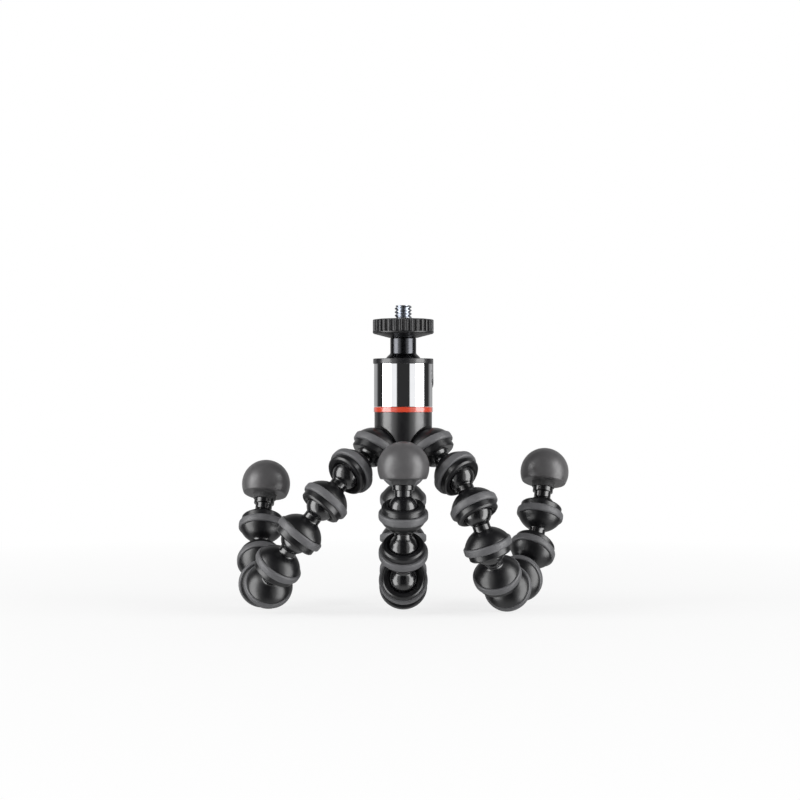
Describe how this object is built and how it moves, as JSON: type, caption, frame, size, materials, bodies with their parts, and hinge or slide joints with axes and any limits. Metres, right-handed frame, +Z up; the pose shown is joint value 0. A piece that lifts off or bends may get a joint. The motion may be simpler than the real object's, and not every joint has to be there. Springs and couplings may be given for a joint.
{
  "type": "flexible leg tripod",
  "caption": "Small tripod with a tilting ball head on a hub and three flexible legs of snap-together ball-and-socket beads with soft grip bands, curled as if round a bar",
  "frame": {"origin": "middle of the seat pad's top face, on the head's axis, where the mounting screw leaves the thumb wheel", "axes": "+Z up along the mounting screw and the head's axis, -Y towards the side that the foot of the rear leg comes round to, and +X to the right seen from there, 25 degrees in front of the head's tilt notch"},
  "size_m": [0.128, 0.0797, 0.1136],
  "materials": {
    "bead_abs": "glossy black moulded ABS",
    "hub_abs": "semi-gloss black moulded ABS",
    "grip_rubber": "matte grey thermoplastic rubber",
    "foot_rubber": "matte dark grey rubber",
    "chrome_sleeve": "polished chrome",
    "accent_plastic": "satin red-orange",
    "collar_nylon": "dark grey satin",
    "seat_acetal": "plain moulded",
    "stem_metal": "dark anodised, polished",
    "wheel_nylon": "black, moulded ribs",
    "screw_steel": "plated steel"
  },
  "bodies": {
    "hub": {"hub": "hub_abs", "hub_grips": "grip_rubber", "accent_ring": "accent_plastic"},
    "housing": {"head_sleeve": "chrome_sleeve", "head_collar": "collar_nylon", "ball_seat": "seat_acetal"},
    "ball_stem": {"ball_stem": "stem_metal"},
    "wheel": {"thumb_wheel": "wheel_nylon", "mount_screw": "screw_steel"},
    "left_1": {"left_bead_1": "bead_abs", "left_grip_1": "grip_rubber"},
    "left_2": {"left_bead_2": "bead_abs", "left_grip_2": "grip_rubber"},
    "left_3": {"left_bead_3": "bead_abs", "left_grip_3": "grip_rubber"},
    "left_4": {"left_bead_4": "bead_abs", "left_grip_4": "grip_rubber"},
    "left_5": {"left_bead_5": "bead_abs", "left_grip_5": "grip_rubber"},
    "left_6": {"left_bead_6": "bead_abs", "left_grip_6": "grip_rubber"},
    "left_7": {"left_bead_7": "bead_abs", "left_grip_7": "grip_rubber"},
    "left_8": {"left_bead_8": "bead_abs", "left_grip_8": "grip_rubber"},
    "left_end": {"left_foot": "foot_rubber"},
    "right_1": {"right_bead_1": "bead_abs", "right_grip_1": "grip_rubber"},
    "right_2": {"right_bead_2": "bead_abs", "right_grip_2": "grip_rubber"},
    "right_3": {"right_bead_3": "bead_abs", "right_grip_3": "grip_rubber"},
    "right_4": {"right_bead_4": "bead_abs", "right_grip_4": "grip_rubber"},
    "right_5": {"right_bead_5": "bead_abs", "right_grip_5": "grip_rubber"},
    "right_6": {"right_bead_6": "bead_abs", "right_grip_6": "grip_rubber"},
    "right_7": {"right_bead_7": "bead_abs", "right_grip_7": "grip_rubber"},
    "right_8": {"right_bead_8": "bead_abs", "right_grip_8": "grip_rubber"},
    "right_end": {"right_foot": "foot_rubber"},
    "rear_1": {"rear_bead_1": "bead_abs", "rear_grip_1": "grip_rubber"},
    "rear_2": {"rear_bead_2": "bead_abs", "rear_grip_2": "grip_rubber"},
    "rear_3": {"rear_bead_3": "bead_abs", "rear_grip_3": "grip_rubber"},
    "rear_4": {"rear_bead_4": "bead_abs", "rear_grip_4": "grip_rubber"},
    "rear_5": {"rear_bead_5": "bead_abs", "rear_grip_5": "grip_rubber"},
    "rear_6": {"rear_bead_6": "bead_abs", "rear_grip_6": "grip_rubber"},
    "rear_7": {"rear_bead_7": "bead_abs", "rear_grip_7": "grip_rubber"},
    "rear_8": {"rear_bead_8": "bead_abs", "rear_grip_8": "grip_rubber"},
    "rear_end": {"rear_foot": "foot_rubber"}
  },
  "joints": [
    {"name": "head_pan", "type": "hinge", "parent": "hub", "child": "housing", "pos_m": [0, 0, -0.0345], "axis": [0, 0, 1], "continuous": true},
    {"name": "head_tilt", "type": "hinge", "parent": "housing", "child": "ball_stem", "pos_m": [0, 0, -0.0193], "axis": [-0.4226, 0.9063, 0], "range_deg": [-25, 90]},
    {"name": "wheel_spin", "type": "hinge", "parent": "ball_stem", "child": "wheel", "pos_m": [0, 0, 0], "axis": [0, 0, 1], "continuous": true},
    {"name": "left_ball_1", "type": "hinge", "parent": "hub", "child": "left_1", "pos_m": [-0.01117, -0.00645, -0.0493], "axis": [-0.7948, 0.5295, 0.2966], "range_deg": [-57, 8]},
    {"name": "left_ball_2", "type": "hinge", "parent": "left_1", "child": "left_2", "pos_m": [-0.02032, -0.01592, -0.0569], "axis": [-0.7889, 0.3651, 0.4943], "range_deg": [-12, 59]},
    {"name": "left_ball_3", "type": "hinge", "parent": "left_2", "child": "left_3", "pos_m": [-0.02946, -0.02038, -0.0682], "axis": [0.7863, -0.0526, -0.6156], "range_deg": [-56, 15]},
    {"name": "left_ball_4", "type": "hinge", "parent": "left_3", "child": "left_4", "pos_m": [-0.03878, -0.01956, -0.08017], "axis": [-0.7702, 0.1802, 0.6118], "range_deg": [-16, 55]},
    {"name": "left_ball_5", "type": "hinge", "parent": "left_4", "child": "left_5", "pos_m": [-0.04668, -0.01382, -0.09182], "axis": [0.7801, -0.1552, -0.6061], "range_deg": [-70, 1]},
    {"name": "left_ball_6", "type": "hinge", "parent": "left_5", "child": "left_6", "pos_m": [-0.05028, -0.00129, -0.09965], "axis": [-0.9714, -0.2122, 0.1062], "range_deg": [-1, 70]},
    {"name": "left_ball_7", "type": "hinge", "parent": "left_6", "child": "left_7", "pos_m": [-0.05343, 0.01355, -0.09885], "axis": [0.9649, 0.2133, -0.1532], "range_deg": [-69, 2]},
    {"name": "left_ball_8", "type": "hinge", "parent": "left_7", "child": "left_8", "pos_m": [-0.05472, 0.02578, -0.08992], "axis": [-0.9726, -0.1948, 0.1267], "range_deg": [-10, 61]},
    {"name": "left_ball_9", "type": "hinge", "parent": "left_8", "child": "left_end", "pos_m": [-0.05446, 0.03315, -0.07662], "axis": [0.9384, 0.2944, -0.1812], "range_deg": [-46, 25]},
    {"name": "right_ball_1", "type": "hinge", "parent": "hub", "child": "right_1", "pos_m": [0.01117, -0.00645, -0.0493], "axis": [-0.7791, -0.5633, -0.2752], "range_deg": [-33, 13]},
    {"name": "right_ball_2", "type": "hinge", "parent": "right_1", "child": "right_2", "pos_m": [0.02039, -0.01504, -0.0578], "axis": [-0.682, -0.7314, 0], "range_deg": [-12, 59]},
    {"name": "right_ball_3", "type": "hinge", "parent": "right_2", "child": "right_3", "pos_m": [0.02644, -0.02069, -0.07055], "axis": [0.9154, 0.2189, 0.3378], "range_deg": [-66, 5]},
    {"name": "right_ball_4", "type": "hinge", "parent": "right_3", "child": "right_4", "pos_m": [0.03123, -0.01866, -0.08483], "axis": [-0.9485, 0.0083, -0.3166], "range_deg": [-2, 69]},
    {"name": "right_ball_5", "type": "hinge", "parent": "right_4", "child": "right_5", "pos_m": [0.0349, -0.00856, -0.09558], "axis": [0.9481, -0.3168, 0.0266], "range_deg": [-62, 9]},
    {"name": "right_ball_6", "type": "hinge", "parent": "right_5", "child": "right_6", "pos_m": [0.03958, 0.00503, -0.10053], "axis": [-0.9371, 0.344, 0.0587], "range_deg": [-2, 69]},
    {"name": "right_ball_7", "type": "hinge", "parent": "right_6", "child": "right_7", "pos_m": [0.04487, 0.0188, -0.09685], "axis": [0.9283, -0.2965, -0.2243], "range_deg": [-70, 1]},
    {"name": "right_ball_8", "type": "hinge", "parent": "right_7", "child": "right_8", "pos_m": [0.05036, 0.02759, -0.08573], "axis": [-0.7909, 0.6055, -0.088], "range_deg": [-18, 53]},
    {"name": "right_ball_9", "type": "hinge", "parent": "right_8", "child": "right_end", "pos_m": [0.05339, 0.03353, -0.07207], "axis": [0.7243, -0.6764, 0.1335], "range_deg": [-43, 28]},
    {"name": "rear_ball_1", "type": "hinge", "parent": "hub", "child": "rear_1", "pos_m": [0, 0.0129, -0.0493], "axis": [1, 0, 0], "range_deg": [-24, 11]},
    {"name": "rear_ball_2", "type": "hinge", "parent": "rear_1", "child": "rear_2", "pos_m": [0, 0.02606, -0.0569], "axis": [1, 0, 0], "range_deg": [-2, 70]},
    {"name": "rear_ball_3", "type": "hinge", "parent": "rear_2", "child": "rear_3", "pos_m": [0, 0.03273, -0.07056], "axis": [-1, 0, 0], "range_deg": [-70, 1]},
    {"name": "rear_ball_4", "type": "hinge", "parent": "rear_3", "child": "rear_4", "pos_m": [0, 0.03035, -0.08557], "axis": [1, 0, 0], "range_deg": [-2, 70]},
    {"name": "rear_ball_5", "type": "hinge", "parent": "rear_4", "child": "rear_5", "pos_m": [0, 0.01998, -0.09669], "axis": [-1, 0, 0], "range_deg": [-70, 1]},
    {"name": "rear_ball_6", "type": "hinge", "parent": "rear_5", "child": "rear_6", "pos_m": [0, 0.00517, -0.10011], "axis": [1, 0, 0], "range_deg": [-1, 67]},
    {"name": "rear_ball_7", "type": "hinge", "parent": "rear_6", "child": "rear_7", "pos_m": [0, -0.00928, -0.09541], "axis": [-1, 0, 0], "range_deg": [-70, 1]},
    {"name": "rear_ball_8", "type": "hinge", "parent": "rear_7", "child": "rear_8", "pos_m": [0, -0.01864, -0.08344], "axis": [1, 0, 0], "range_deg": [-1, 54]},
    {"name": "rear_ball_9", "type": "hinge", "parent": "rear_8", "child": "rear_end", "pos_m": [0, -0.02359, -0.06906], "axis": [-1, 0, 0], "range_deg": [-58, 6]}
  ]
}
